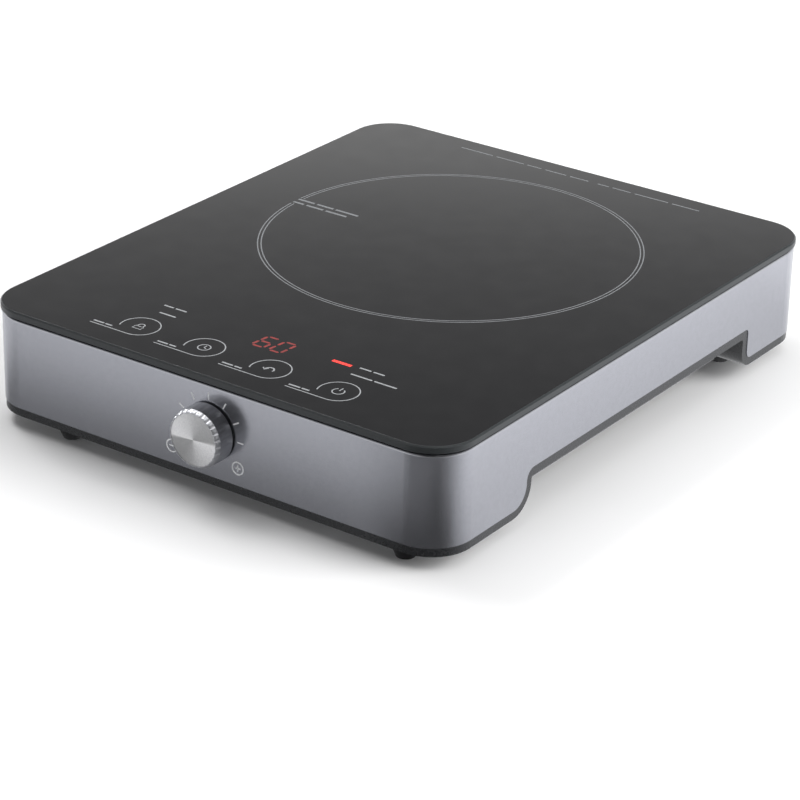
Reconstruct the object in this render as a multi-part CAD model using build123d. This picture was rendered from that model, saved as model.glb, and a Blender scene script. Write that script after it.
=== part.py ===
from build123d import *
import os

# Portable single-zone induction hob, millimetres. +X right, +Y to the back, +Z up.
# The origin is on the table, under the middle of the hob.

# ---- driving dimensions ----
glass_width = 290.0
glass_depth = 350.0
glass_thickness = 4.0
glass_corner = 24.0
glass_bevel = 1.1
sleeve_inset = 0.8
sleeve_height = 49.4
sleeve_wall = 1.0
flange_width = 8.0
seal_height = 0.8
foot_height = 8.0
rim_height = 4.6
plastic_wall = 2.2
fit_gap = 0.3

# side notch in the sleeve, which leaves a front leg and a rear leg
notch_front = -103.0
notch_rear = 112.0
notch_height = 18.0
notch_lip = 5.0
front_leg_corner = 11.0
rear_leg_corner = 4.0
notch_front_corner = 6.0
notch_rear_corner = 3.0
lip_corner = 1.4

# belly between the legs
belly_half_width = 139.0
belly_rear = 86.0
belly_drop = 6.0

# knob and encoder
knob_x = 4.2
knob_rise = 24.6
knob_radius = 15.6
knob_face_radius = 13.9
knob_gap = 1.0
knob_length = 13.0
shaft_radius = 3.0
shaft_flat = 1.5
bushing_radius = 3.5
running_gap = 0.05

# cooking zone and coil
zone_y = 37.0
coil_inner = 26.0
coil_pitch = 4.0
coil_turns = 16
strand_width = 3.2
carrier_radius = 100.0
coil_post_circle = 95.0

# fan
fan_x = -82.0
fan_y = -48.0
fan_size = 80.0
fan_height = 20.0
fan_bore = 38.0
fan_blades = 7

# power board
board_x = 72.0
board_y = -32.0
board_width = 124.0
board_depth = 120.0
board_thickness = 1.6
board_lift = 5.0

# touch panel behind the front edge of the glass
key_pitch = 41.5
key_middle = 1.7
key_y = -149.0
panel_x = 3.0
panel_y = -135.5
panel_width = 186.0
panel_depth = 47.0
spring_height = 6.0
ribbon_x = 28.0

# cord gland in the back
gland_x = 100.0
gland_rise = 16.0
gland_bore = 3.5
gland_barrel = 7.0
gland_reach = 13.0

# ---- levels and outlines worked out from them ----
tray_bottom = foot_height
tray_floor = tray_bottom + plastic_wall
sleeve_bottom = tray_bottom + rim_height
sleeve_top = sleeve_bottom + sleeve_height
glass_bottom = sleeve_top + seal_height
glass_top = glass_bottom + glass_thickness
notch_top = sleeve_bottom + notch_height
lip_bottom = notch_top - notch_lip
belly_bottom = lip_bottom - belly_drop
belly_floor = belly_bottom + plastic_wall
tray_wall_top = 40.0

sleeve_width = glass_width - 2 * sleeve_inset
sleeve_depth = glass_depth - 2 * sleeve_inset
sleeve_corner = glass_corner - sleeve_inset
front_face = -sleeve_depth / 2
back_face = sleeve_depth / 2
knob_z = sleeve_bottom + knob_rise
gland_z = sleeve_bottom + gland_rise

leg_front_wall = notch_front + rim_height
leg_rear_wall = notch_rear - rim_height
board_bottom = belly_floor + board_lift
board_top = board_bottom + board_thickness
panel_top = glass_bottom - spring_height
panel_bottom = panel_top - board_thickness
panel_plate = panel_bottom - 4.0
carrier_bottom = 55.0
carrier_top = 58.0
key_places = [key_middle + (i - 1.5) * key_pitch for i in range(4)]
coil_posts = [
    (coil_post_circle, zone_y),
    (-coil_post_circle, zone_y),
    (0, zone_y + coil_post_circle),
    (0, zone_y - coil_post_circle),
]
frame_posts = [
    (x, y)
    for x, y in [(135, -130), (135, 140), (75, -166), (60, 166)]
    for x in (x, -x)
]
feet = {
    "foot_front_left": (-96, -162.5),
    "foot_front_right": (115, -162.5),
    "foot_rear_left": (-119, 128),
    "foot_rear_right": (119, 128),
}
panel_legs = [
    (panel_x + sx * 88, y)
    for sx in (-1, 1)
    for y in (-150, -120)
]


# ---- plain shapes ----
def block(x0, x1, y0, y1, z0, z1):
    """A box between two corners."""
    solid = Box(x1 - x0, y1 - y0, z1 - z0)
    return Pos((x0 + x1) / 2, (y0 + y1) / 2, (z0 + z1) / 2) * solid


def post(x, y, radius, z0, z1):
    """An upright round bar."""
    return Pos(x, y, (z0 + z1) / 2) * Cylinder(radius, z1 - z0)


def posts(places, radius, z0, z1):
    """Like round bars at several places."""
    return [post(x, y, radius, z0, z1) for x, y in places]


def plate(inset, z0, z1):
    """A slab with the glass outline, drawn in by an inset."""
    outline = RectangleRounded(
        glass_width - 2 * inset, glass_depth - 2 * inset, glass_corner - inset
    )
    return Pos(0, 0, z0) * extrude(outline, z1 - z0)


def turned(points, axis=Axis.Z):
    """A solid turned from (radius, height) points about the Z axis."""
    outline = Polyline(*[(r, 0, z) for r, z in points], close=True)
    return revolve(make_face(outline), axis)


def group(solids):
    """Separate solids that share one node."""
    return Compound(children=list(solids))


def pan_screw(x, y, z_seat, length, head_radius=3.2, radius=1.4, up=False):
    """A pan-head screw: the head sits on z_seat and the shank runs away from it."""
    way = 1 if up else -1
    head = post(x, y, head_radius, *sorted((z_seat, z_seat - way * 2.0)))
    shank = post(x, y, radius, *sorted((z_seat, z_seat + way * length)))
    return head + shank


def under_edge(low, high, front, rear, low_front, low_rear, high_front, high_rear):
    """All that lies under a stepped lower edge: low at both legs and high between them."""
    far = 220.0
    edge = FilletPolyline(
        (-far, low),
        (front, low),
        (front, high),
        (rear, high),
        (rear, low),
        (far, low),
        radius=[low_front, high_front, high_rear, low_rear],
    )
    closing = Polyline((far, low), (far, -20), (-far, -20), (-far, low))
    face = Plane.YZ * make_face(edge + closing)
    return extrude(face, far, both=True)


def under_sleeve():
    return under_edge(
        sleeve_bottom, notch_top, notch_front, notch_rear,
        front_leg_corner, rear_leg_corner, notch_front_corner, notch_rear_corner,
    )


def under_tray():
    return under_edge(
        tray_bottom, lip_bottom, leg_front_wall, leg_rear_wall,
        front_leg_corner + rim_height, rear_leg_corner + rim_height, lip_corner, lip_corner,
    )


def under_tray_floor():
    return under_edge(
        tray_floor, lip_bottom + plastic_wall,
        leg_front_wall - plastic_wall, leg_rear_wall + plastic_wall,
        front_leg_corner + rim_height - plastic_wall,
        rear_leg_corner + rim_height - plastic_wall,
        lip_corner, lip_corner,
    )


# ---- casing ----
def glass_plate():
    slab = plate(0, glass_bottom, glass_top)
    slab = chamfer(slab.faces().sort_by(Axis.Z)[-1].edges(), glass_bevel)
    return chamfer(slab.faces().sort_by(Axis.Z)[0].edges(), 0.5)


def glass_seal():
    ring = plate(sleeve_inset + 2.4, sleeve_top, glass_bottom)
    return ring - plate(sleeve_inset + flange_width, sleeve_top - 1, glass_bottom + 1)


def vent_slots(places, y0, y1, z0, z1, width=3.0):
    """Upright slots through a wall that faces along Y, with round ends."""
    height = z1 - z0
    middle = ((y0 + y1) / 2, (z0 + z1) / 2)
    slot = Plane.XZ * extrude(SlotOverall(height, width, rotation=90), (y1 - y0) / 2, both=True)
    return [Pos(x, middle[0], middle[1]) * slot for x in places]


def sleeve():
    band = plate(sleeve_inset, sleeve_bottom, sleeve_top)
    band = fillet(band.faces().sort_by(Axis.Z)[-1].edges(), 1.5)
    band -= plate(sleeve_inset + sleeve_wall, 0, sleeve_top - sleeve_wall)
    band -= plate(sleeve_inset + flange_width, 0, sleeve_top + 1)
    band -= under_sleeve()
    band -= on_knob(0, 0, Cylinder(bushing_radius + 0.2, 6))
    band -= on_gland(0, Cylinder(gland_barrel + 0.2, 8))
    slot_places = [8.0 * i for i in range(-6, 7)]
    return band - vent_slots(slot_places, back_face - 4, back_face + 2, 42.5, 56.5)


def base_tray():
    below = under_tray()
    rim = (plate(sleeve_inset + 0.4, tray_bottom, notch_top) & under_sleeve()) - below
    wall_inset = sleeve_inset + sleeve_wall + fit_gap
    wall = plate(wall_inset, tray_bottom, tray_wall_top) - below
    belly = block(
        -belly_half_width, belly_half_width,
        leg_front_wall - 1, belly_rear, belly_bottom, lip_bottom + 1,
    )
    belly = fillet(belly.edges().group_by(Axis.Z)[0], 2.0)
    tray = rim + wall + belly
    tray -= plate(wall_inset + plastic_wall, 0, sleeve_top) - under_tray_floor()
    tray -= block(
        -belly_half_width + plastic_wall, belly_half_width - plastic_wall,
        leg_front_wall - plastic_wall, belly_rear - plastic_wall,
        belly_floor, lip_bottom + 6,
    )
    # posts that carry the coil, the power board and the touch panel
    tray += posts(coil_posts[:2], 4, belly_floor - 1, carrier_bottom)
    tray += posts(coil_posts[3:], 4, belly_floor - 1, carrier_bottom)
    tray += posts(coil_posts[2:3], 4, tray_floor - 1, carrier_bottom)
    tray += posts(board_corners(), 3.5, belly_floor - 1, board_bottom)
    tray -= posts(coil_posts, 1.45, carrier_bottom - 12, carrier_bottom + 1)
    tray -= posts(board_corners(), 1.45, belly_floor, board_bottom + 1)
    # holes for feet, screws, encoder and gland
    tray -= posts(feet.values(), 3.0, tray_bottom - 1, tray_floor + 1)
    tray -= posts(frame_posts, 1.6, tray_bottom - 1, tray_floor + 1)
    tray -= posts(panel_legs, 1.6, tray_bottom - 1, tray_floor + 1)
    tray -= posts(fan_corners(), 1.6, belly_bottom + 0.8, belly_floor + 1)
    tray -= block(knob_x - 17, knob_x + 17, front_face, front_face + 6, knob_z - 17, 60)
    tray -= on_gland(0, Cylinder(gland_barrel + 0.2, 14))
    # air intake under the fan and air outlet under the back leg
    slot = extrude(SlotOverall(22, 3), 6, both=True)
    for turn in PolarLocations(26, 20):
        tray -= Pos(fan_x, fan_y, belly_bottom) * turn * slot
    outlet = extrude(SlotOverall(26, 4, rotation=90), 6, both=True)
    for i in range(-5, 6):
        tray -= Pos(14.0 * i, 142, tray_bottom) * outlet
    return tray


def upper_frame():
    outer = sleeve_inset + sleeve_wall + fit_gap
    top = sleeve_top - sleeve_wall
    ring = plate(outer, top - 3, top) - plate(outer + 10, 0, sleeve_top)
    ring += posts(frame_posts, 4.4, tray_floor, top - 1)
    return ring - posts(frame_posts, 1.5, tray_floor - 1, tray_floor + 14)


def base_screws():
    return group(pan_screw(x, y, tray_bottom, 14, up=True) for x, y in frame_posts)


def foot(place):
    stem = tray_floor
    shape = turned([
        (0, 0), (4.9, 0), (5.6, 0.5), (6.4, 3.5), (7.0, foot_height),
        (2.95, foot_height), (2.95, stem + 0.1), (3.5, stem + 0.4),
        (3.5, stem + 1.2), (2.4, stem + 3.0), (0, stem + 3.0),
    ])
    return Pos(*place, 0) * shape


# ---- knob and encoder, on an axis that points out of the front ----
def on_knob(dx, dz, shape, out=0.0):
    """Places a shape whose +Z points out of the front face, at the knob's axis."""
    front = Plane(
        origin=(knob_x + dx, front_face - out, knob_z + dz), x_dir=(1, 0, 0), z_dir=(0, -1, 0)
    )
    return front * shape


def d_bar(radius, flat, z0, z1):
    """A round bar with one flat side, as on a knob shaft."""
    bar = post(0, 0, radius, z0, z1)
    return bar - block(-radius, radius, flat, radius + 1, z0 - 1, z1 + 1)


def knob_body():
    skirt = knob_length - 2.4
    face = knob_face_radius
    cup = turned([
        (0, knob_length - 1.0), (face, knob_length - 1.0), (face, knob_length),
        (face + 0.4, knob_length), (knob_radius - 0.2, skirt), (knob_radius, knob_gap),
        (face, knob_gap), (face, 9), (5.5, 9), (5.5, 4), (0, 4),
    ])
    return on_knob(0, 0, cup - d_bar(shaft_radius, shaft_flat, 3, 10))


def knob_face_disc():
    return on_knob(0, 0, post(0, 0, knob_face_radius - 0.05, knob_length - 1.0, knob_length - 0.2))


def encoder_shaft():
    whole = post(0, 0, shaft_radius, -6, 4) + d_bar(shaft_radius, shaft_flat, 4, 9.8)
    return on_knob(0, 0, whole)


def encoder_body():
    shell = block(-6.2, 6.2, -6.7, 6.7, -7.5, -sleeve_wall)
    shell = fillet(shell.edges().filter_by(Axis.Z), 0.8)
    shell += post(0, 0, bushing_radius, -sleeve_wall, 3.4)
    return on_knob(0, 0, shell - post(0, 0, shaft_radius + running_gap, -6.1, 4))


def encoder_washer():
    ring = post(0, 0, 5.6, 0, 0.5) - post(0, 0, bushing_radius + 0.1, -1, 1)
    return on_knob(0, 0, ring)


def encoder_nut():
    nut = Pos(0, 0, 0.5) * extrude(RegularPolygon(5.4, 6), 2.2)
    return on_knob(0, 0, nut - post(0, 0, bushing_radius + 0.02, 0, 4))


def encoder_board():
    sheet = block(-14, 14, -11, 15, -7.5 - board_thickness, -7.5)
    return on_knob(0, 0, fillet(sheet.edges().filter_by(Axis.Z), 1.5))


# ---- coil stack under the cooking zone ----
def coil_carrier():
    disc = post(0, zone_y, carrier_radius, carrier_bottom, carrier_top)
    disc -= post(0, zone_y, 9.4, 50, 60)
    disc -= posts(coil_posts, 1.6, 50, 60)
    hole = Cylinder(9, 10)
    for turn in PolarLocations(46, 6, start_angle=0):
        disc -= Pos(0, zone_y, carrier_bottom) * turn * hole
    for turn in PolarLocations(76, 12, start_angle=15):
        disc -= Pos(0, zone_y, carrier_bottom) * turn * hole
    return disc


def coil_screws():
    return group(pan_screw(x, y, carrier_top, 12) for x, y in coil_posts)


def induction_coil():
    """A flat spiral of half rings, whose centres alternate by half the pitch."""
    step = coil_pitch / 2
    coil = None
    for i in range(2 * coil_turns):
        middle = coil_inner + i * step
        half = Circle(middle + strand_width / 2) - Circle(middle - strand_width / 2)
        side = 1 if i % 2 == 0 else -1
        half &= Pos(0, side * 150) * Rectangle(300, 300)
        shift = step / 2 * side
        piece = Pos(shift, zone_y, carrier_top + 0.2) * extrude(half, 3.0)
        coil = piece if coil is None else coil + piece
    return coil


def ferrite_bars():
    bar = Box(58, 12, 4.4)
    places = PolarLocations(58, 6, start_angle=30)
    return group(Pos(0, zone_y, carrier_bottom - 2.3) * turn * bar for turn in places)


def mica_sheet():
    low = carrier_top + 3.4
    return post(0, zone_y, 91, low, low + 0.8) - post(0, zone_y, 10, low - 1, low + 2)


def sensor_cap():
    cap = turned([
        (3, 52), (9.0, 52), (9.0, 60), (7.5, glass_bottom), (0, glass_bottom),
        (0, glass_bottom - 1), (3, glass_bottom - 1),
    ])
    return Pos(0, zone_y, 0) * cap


def thermistor():
    return post(0, zone_y, 2.6, glass_bottom - 5, glass_bottom - 1.1)


def coil_leads():
    """Two insulated leads from under the coil down to the power board."""
    leads = []
    for x, y in ((30, -2), (38, -2)):
        path = FilletPolyline(
            (x, y, carrier_bottom - 0.5), (x, y, 46), (x, y + 8, 38), (x, y + 8, board_top),
            radius=4,
        )
        section = Plane(path @ 0, z_dir=path % 0) * Circle(1.6)
        leads.append(sweep(section, path))
    return group(leads)


# ---- power electronics ----
def board_corners():
    return [
        (board_x + sx * (board_width / 2 - 5), board_y + sy * (board_depth / 2 - 5))
        for sx in (-1, 1)
        for sy in (-1, 1)
    ]


def power_board():
    half_width = board_width / 2
    half_depth = board_depth / 2
    sheet = block(
        board_x - half_width, board_x + half_width,
        board_y - half_depth, board_y + half_depth, board_bottom, board_top,
    )
    sheet = fillet(sheet.edges().filter_by(Axis.Z), 2)
    return sheet - posts(board_corners(), 1.6, 0, 50)


def board_screws():
    return group(pan_screw(x, y, board_top, 5) for x, y in board_corners())


def heatsink():
    low = board_top + 5.0
    sink = block(22, 84, -74, -26, low, low + 4)
    for i in range(13):
        x = 22 + 5.0 * i
        sink += block(x, x + 2, -74, -26, low + 3, low + 15)
    return sink


def chip(x, y, width, depth):
    """A flat power package that lies between the board and the heatsink."""
    body = block(x - width / 2, x + width / 2, y - depth / 2, y + depth / 2,
                 board_top, board_top + 5.0)
    return chamfer(body.edges().group_by(Axis.Z)[0], 0.6)


def igbt():
    return chip(38, -50, 15.6, 20)


def bridge_rectifier():
    return chip(66, -50, 30, 18)


def filter_choke():
    core = Torus(10.5, 5.0)
    return Pos(112, -70, board_top + 5.2) * core


def film_capacitors():
    large = block(96, 128, -50, -34, board_top, board_top + 20)
    small = block(96, 128, -30, -19, board_top, board_top + 18)
    return group(fillet(c.edges(), 0.8) for c in (large, small))


def electrolytic_capacitor():
    can = post(60, 8, 6.5, board_top, board_top + 18)
    return fillet(can.edges(), 0.8)


def relay():
    body = block(78, 98, -12, 4, board_top, board_top + 15)
    return fillet(body.edges(), 0.8)


def fuse():
    body = block(104, 126, -8, 0, board_top, board_top + 6)
    tube = Pos(115, -4, board_top + 6) * Rot(0, 90, 0) * Cylinder(2.6, 20)
    return body + tube


def terminal_block():
    body = block(104, 126, 8, 20, board_top, board_top + 10)
    for x in (109.5, 120.5):
        body -= post(x, 14, 2.5, board_top + 7, board_top + 11)
    return body


# ---- fan ----
def fan_corners():
    offset = fan_size / 2 - 4.2
    return [(fan_x + sx * offset, fan_y + sy * offset) for sx in (-1, 1) for sy in (-1, 1)]


def fan_frame():
    low = belly_floor
    outline = RectangleRounded(fan_size, fan_size, 4)
    frame = Pos(fan_x, fan_y, low) * extrude(outline, fan_height)
    frame -= post(fan_x, fan_y, fan_bore, 0, 60)
    for turn in (0, 90):
        arm = Rot(0, 0, turn) * Box(2 * fan_bore + 2, 4, 2.4)
        frame += Pos(fan_x, fan_y, low + 1.2) * arm
    frame += post(fan_x, fan_y, 14, low, low + 2.4)
    frame += post(fan_x, fan_y, 4, low + 2, low + 9)
    frame -= post(fan_x, fan_y, 1.5 + running_gap, low + 1, low + 10)
    return frame - posts(fan_corners(), 1.8, 0, 60)


def fan_rotor():
    """A hub with swept blades on a steel pin that runs in the frame's bush."""
    low = belly_floor + 3.4
    high = belly_floor + fan_height - 1.5
    hub = post(0, 0, 15, low, high) - post(0, 0, 13.4, low - 1, high - 2)
    hub += post(0, 0, 1.5, belly_floor + 1.4, high - 1)
    ring = post(0, 0, fan_bore - 1.0, low, high)
    blade = Box(26, 1.6, 20)
    middle = (low + high) / 2
    blades = [
        Rot(0, 0, turn) * Pos(25.5, 0, middle) * Rot(48, 0, 0) * blade
        for turn in [i * 360 / fan_blades for i in range(fan_blades)]
    ]
    hub += [b & ring for b in blades]
    return Pos(fan_x, fan_y, 0) * hub


def fan_stator():
    """Four wound poles round the bush, inside the rotor's hub."""
    low = belly_floor + 3.6
    core = post(fan_x, fan_y, 12.4, low, low + 9) - post(fan_x, fan_y, 4.02, 0, 60)
    for turn in (45, 135):
        slot = Rot(0, 0, turn) * Box(40, 2.4, 6)
        core -= Pos(fan_x, fan_y, low + 7.5) * slot
    return core


def fan_screws():
    top = belly_floor + fan_height
    return group(
        pan_screw(x, y, top, fan_height + 1.2, head_radius=3.0, radius=1.5)
        for x, y in fan_corners()
    )


# ---- touch panel behind the front of the glass ----
def panel_carrier():
    half_width = panel_width / 2 + 1.8
    half_depth = panel_depth / 2 + 1.8
    x0, x1 = panel_x - half_width, panel_x + half_width
    y0, y1 = panel_y - half_depth, panel_y + half_depth
    box = block(x0, x1, y0, y1, panel_plate, panel_top)
    box = fillet(box.edges().filter_by(Axis.Z), 3)
    box -= block(x0 + 5, x1 - 5, y0 + 5, y1 - 5, panel_plate + 2, panel_top + 1)
    box -= block(x0 + 1.6, x1 - 1.6, y0 + 1.6, y1 - 1.6, panel_bottom, panel_top + 1)
    box -= block(ribbon_x - 1, ribbon_x + 19, panel_y, y1 + 1, panel_plate + 2, panel_bottom)
    box += posts(panel_legs, 4, tray_floor, panel_plate + 1)
    return box - posts(panel_legs, 1.5, tray_floor - 1, tray_floor + 14)


def panel_screws():
    return group(pan_screw(x, y, tray_bottom, 14, up=True) for x, y in panel_legs)


def control_board():
    half_width = panel_width / 2
    half_depth = panel_depth / 2
    return block(
        panel_x - half_width, panel_x + half_width,
        panel_y - half_depth, panel_y + half_depth, panel_bottom, panel_top,
    )


def touch_springs():
    """One sprung contact cup under each key, pressed against the glass."""
    cups = []
    for x in key_places:
        cup = post(x, key_y, 6, panel_top, glass_bottom)
        cups.append(cup - post(x, key_y, 5.2, panel_top - 1, glass_bottom - 0.8))
    return group(cups)


def display_module():
    body = block(-7, 19, -131, -116, panel_top, glass_bottom - 0.4)
    return chamfer(body.edges().filter_by(Axis.Z), 0.5)


def indicator_lights():
    return group(
        block(x - 1.5, x + 1.5, -124, -119, panel_top, glass_bottom - 0.8)
        for x in (42, 46, 50)
    )


def buzzer():
    can = post(80, -125, 6, panel_top, panel_top + 4.5)
    return can - post(80, -125, 1, panel_top + 3, panel_top + 6)


def ribbon_cable():
    """A flat cable from the touch panel's board back to the power board."""
    path = FilletPolyline(
        (panel_y + 14, panel_bottom - 0.5), (-104, panel_bottom - 0.5),
        (-104, board_top + 8), (-84, board_top + 8), (-84, board_top),
        radius=3,
    )
    strip = Plane.YZ * trace(path, 1.0)
    return Pos(ribbon_x, 0, 0) * extrude(strip, 18)


# ---- cord gland ----
def on_gland(out, shape):
    """Places a shape whose +Z points out of the back, at the gland's axis."""
    back = Plane(
        origin=(gland_x, back_face + out, gland_z), x_dir=(-1, 0, 0), z_dir=(0, 1, 0)
    )
    return back * shape


def cord_gland():
    body = turned([
        (gland_bore, -14), (gland_barrel, -14), (gland_barrel, 0), (10, 0), (10, 2.5),
        (8.2, 2.5), (6.6, gland_reach - 1), (5.8, gland_reach), (gland_bore, gland_reach),
    ])
    return on_gland(0, body)


def gland_nut():
    inner = -(sleeve_wall + fit_gap + plastic_wall)
    nut = Pos(0, 0, inner - 5) * extrude(RegularPolygon(10, 6), 5)
    return on_gland(0, nut - post(0, 0, gland_barrel + 0.05, inner - 6, inner + 1))


nodes = {
    "glass_plate": glass_plate,
    "glass_seal": glass_seal,
    "sleeve": sleeve,
    "base_tray": base_tray,
    "upper_frame": upper_frame,
    "base_screws": base_screws,
    "knob_body": knob_body,
    "knob_face_disc": knob_face_disc,
    "encoder_shaft": encoder_shaft,
    "encoder_body": encoder_body,
    "encoder_washer": encoder_washer,
    "encoder_nut": encoder_nut,
    "encoder_board": encoder_board,
    "coil_carrier": coil_carrier,
    "coil_screws": coil_screws,
    "induction_coil": induction_coil,
    "ferrite_bars": ferrite_bars,
    "mica_sheet": mica_sheet,
    "sensor_cap": sensor_cap,
    "thermistor": thermistor,
    "coil_leads": coil_leads,
    "power_board": power_board,
    "board_screws": board_screws,
    "heatsink": heatsink,
    "igbt": igbt,
    "bridge_rectifier": bridge_rectifier,
    "filter_choke": filter_choke,
    "film_capacitors": film_capacitors,
    "electrolytic_capacitor": electrolytic_capacitor,
    "relay": relay,
    "fuse": fuse,
    "terminal_block": terminal_block,
    "fan_frame": fan_frame,
    "fan_rotor": fan_rotor,
    "fan_stator": fan_stator,
    "fan_screws": fan_screws,
    "panel_carrier": panel_carrier,
    "panel_screws": panel_screws,
    "control_board": control_board,
    "touch_springs": touch_springs,
    "display_module": display_module,
    "indicator_lights": indicator_lights,
    "buzzer": buzzer,
    "ribbon_cable": ribbon_cable,
    "cord_gland": cord_gland,
    "gland_nut": gland_nut,
}

os.makedirs("parts", exist_ok=True)
for name, make in nodes.items():
    export_step(make(), f"parts/{name}.step")
for name, place in feet.items():
    export_step(foot(place), f"parts/{name}.step")
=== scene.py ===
import math

import bmesh
import bpy
import numpy as np
from mathutils import Matrix, Vector


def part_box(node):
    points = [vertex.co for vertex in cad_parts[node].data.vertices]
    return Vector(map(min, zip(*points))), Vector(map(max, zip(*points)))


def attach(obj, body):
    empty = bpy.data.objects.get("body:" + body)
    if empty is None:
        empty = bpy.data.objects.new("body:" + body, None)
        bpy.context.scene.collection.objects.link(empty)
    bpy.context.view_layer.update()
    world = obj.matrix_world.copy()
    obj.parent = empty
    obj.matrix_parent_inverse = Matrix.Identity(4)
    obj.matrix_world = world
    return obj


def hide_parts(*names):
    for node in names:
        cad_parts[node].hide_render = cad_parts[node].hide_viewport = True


bl_info = {
    "name": "Tabletop Hob",
    "version": (1, 0, 0),
    "blender": (4, 5, 0),
    "location": "View3D > Sidebar > Hob",
    "description": "Finishes a tabletop induction hob: glass, prints, knob, casing and stage",
    "category": "Object",
}

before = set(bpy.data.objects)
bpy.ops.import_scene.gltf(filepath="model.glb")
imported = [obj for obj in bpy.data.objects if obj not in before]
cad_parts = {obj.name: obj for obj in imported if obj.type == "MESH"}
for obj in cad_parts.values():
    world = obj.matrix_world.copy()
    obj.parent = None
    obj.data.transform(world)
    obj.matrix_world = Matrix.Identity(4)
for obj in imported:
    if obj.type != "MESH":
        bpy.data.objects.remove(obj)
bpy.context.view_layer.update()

MM = 0.001
GLASS_LOW, GLASS_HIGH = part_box("glass_plate")
SLEEVE_LOW, SLEEVE_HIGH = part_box("sleeve")
KNOB_LOW, KNOB_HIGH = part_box("knob_body")
GLAND_LOW, GLAND_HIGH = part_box("cord_gland")
GLASS_TOP = GLASS_HIGH.z
FRONT = SLEEVE_LOW.y
BACK = SLEEVE_HIGH.y
CORNER = 24 * MM
KNOB_X = (KNOB_LOW.x + KNOB_HIGH.x) / 2
KNOB_Z = (KNOB_LOW.z + KNOB_HIGH.z) / 2
GLAND_X = (GLAND_LOW.x + GLAND_HIGH.x) / 2
GLAND_Z = (GLAND_LOW.z + GLAND_HIGH.z) / 2
FEET = ("foot_front_left", "foot_front_right", "foot_rear_left", "foot_rear_right")
SCREW_PLACES = [
    (x * side, y)
    for x, y in ((135, -130), (135, 140), (75, -166), (60, 166))
    for side in (1, -1)
]

# soft lights: name, place and side of the square, in metres
TOP_LIGHT = ("top_light", (0, 0.6, 3.8), 6.0)
SIDE_LIGHT = ("side_light", (3.4, 1.4, 1.9), 3.0)
LEFT_LIGHT = ("left_light", (-0.85, 0, 1.25), 0.5)
# the reflector card, a glowing sheet of painted reflection and painted shade: its half side, its
# brightness close to the hob, the distances between which that fades to full, and (degrees round
# the front right corner, brightness), a curve of painted shade before the front right corner
CARD_REACH = 0.9
PAINTED_SHADE_NEAR_FRONT = 0.31
PAINTED_SHADE_NEAR_SIDES = 0.72
PAINTED_SHADE_FADE = (10 * MM, 115 * MM)
PAINTED_REFLECTION_CURVE = (
    (-180, 0.92), (-40, 0.92), (-27, 0.5), (-12, 0.26), (51, 0.2), (68, 0.34), (88, 0.66),
    (112, 1.08), (136, 1.32), (180, 1.36),
)
# the room: (degrees above the floor, share of the wall's tone)
ROOM_CURVE = (
    (0, 1.0), (20.3, 1.0), (20.7, 0.97), (21.1, 0.62), (21.9, 0.36), (22.8, 0.24), (24, 0.12),
    (25.5, 0.02), (90, 0.0),
)
# the room's dark end: (degrees from the front to the right, share of the light)
ROOM_END = (
    (-180, 1.0), (-25, 1.0), (18, 0.12), (60, 0.12), (105, 1.0), (180, 1.0),
)

# how far the floor lies under the feet, and the card over them
CLEAR = 0.05 * MM
# the middle part of a cloudy value, which is spread over a finish's range
MIDDLE = {"From Min": 0.3, "From Max": 0.7}

# directions (right, up, out) of the faces that carry marks or turned pieces
ON_TOP = ((1, 0, 0), (0, 1, 0), (0, 0, 1))
ON_FRONT = ((1, 0, 0), (0, 0, 1), (0, -1, 0))
ON_BACK = ((-1, 0, 0), (0, 0, 1), (0, 1, 0))
FROM_BELOW = ((1, 0, 0), (0, -1, 0), (0, 0, -1))


# ---- colour and shader nodes ----
def linear(code):
    """An sRGB hex colour as linear red, green, blue and alpha."""
    parts = np.array([int(code[i:i + 2], 16) for i in (1, 3, 5)]) / 255
    low = parts / 12.92
    high = ((parts + 0.055) / 1.055) ** 2.4
    return (*np.where(parts <= 0.04045, low, high).tolist(), 1.0)


def add(tree, kind, inputs=None, **settings):
    """Adds a shader node; an input is either a value or another node's output."""
    made = tree.nodes.new("ShaderNode" + kind)
    for key, value in settings.items():
        setattr(made, key, value)
    for key, value in (inputs or {}).items():
        if isinstance(value, bpy.types.NodeSocket):
            tree.links.new(value, made.inputs[key])
        else:
            made.inputs[key].default_value = value
    return made


def finish(name, **sockets):
    """A material with one surface shader, whose constant sockets are given by name."""
    made = bpy.data.materials.new(name)
    made.use_nodes = True
    tree = made.node_tree
    tree.nodes.clear()
    names = {key.replace("_", " "): value for key, value in sockets.items()}
    shader = add(tree, "BsdfPrincipled", names)
    add(tree, "OutputMaterial", {"Surface": shader.outputs["BSDF"]})
    place = add(tree, "TexCoord").outputs["Object"]
    return made, tree, shader, place


def wire(tree, shader, **outputs):
    """Links nodes' outputs to a shader's sockets, given by name."""
    for key, value in outputs.items():
        tree.links.new(value, shader.inputs[key.replace("_", " ")])


def clouds(tree, place, grain, detail=2.0, stretch=(1, 1, 1)):
    """Cloudy values whose lumps are one grain across, drawn out along an axis by its stretch."""
    drawn = add(tree, "Mapping", {"Vector": place, "Scale": tuple(1 / s for s in stretch)})
    settings = {"Vector": drawn.outputs[0], "Scale": 1 / grain, "Detail": detail}
    return add(tree, "TexNoise", settings).outputs["Fac"]


def tinted(tree, value, dark, light):
    """A colour between two sRGB tones, mixed by the middle part of a cloudy value."""
    share = add(tree, "MapRange", {"Value": value, **MIDDLE}).outputs[0]
    tones = {0: share, 6: linear(dark), 7: linear(light)}
    return add(tree, "Mix", tones, data_type="RGBA").outputs[2]


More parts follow.
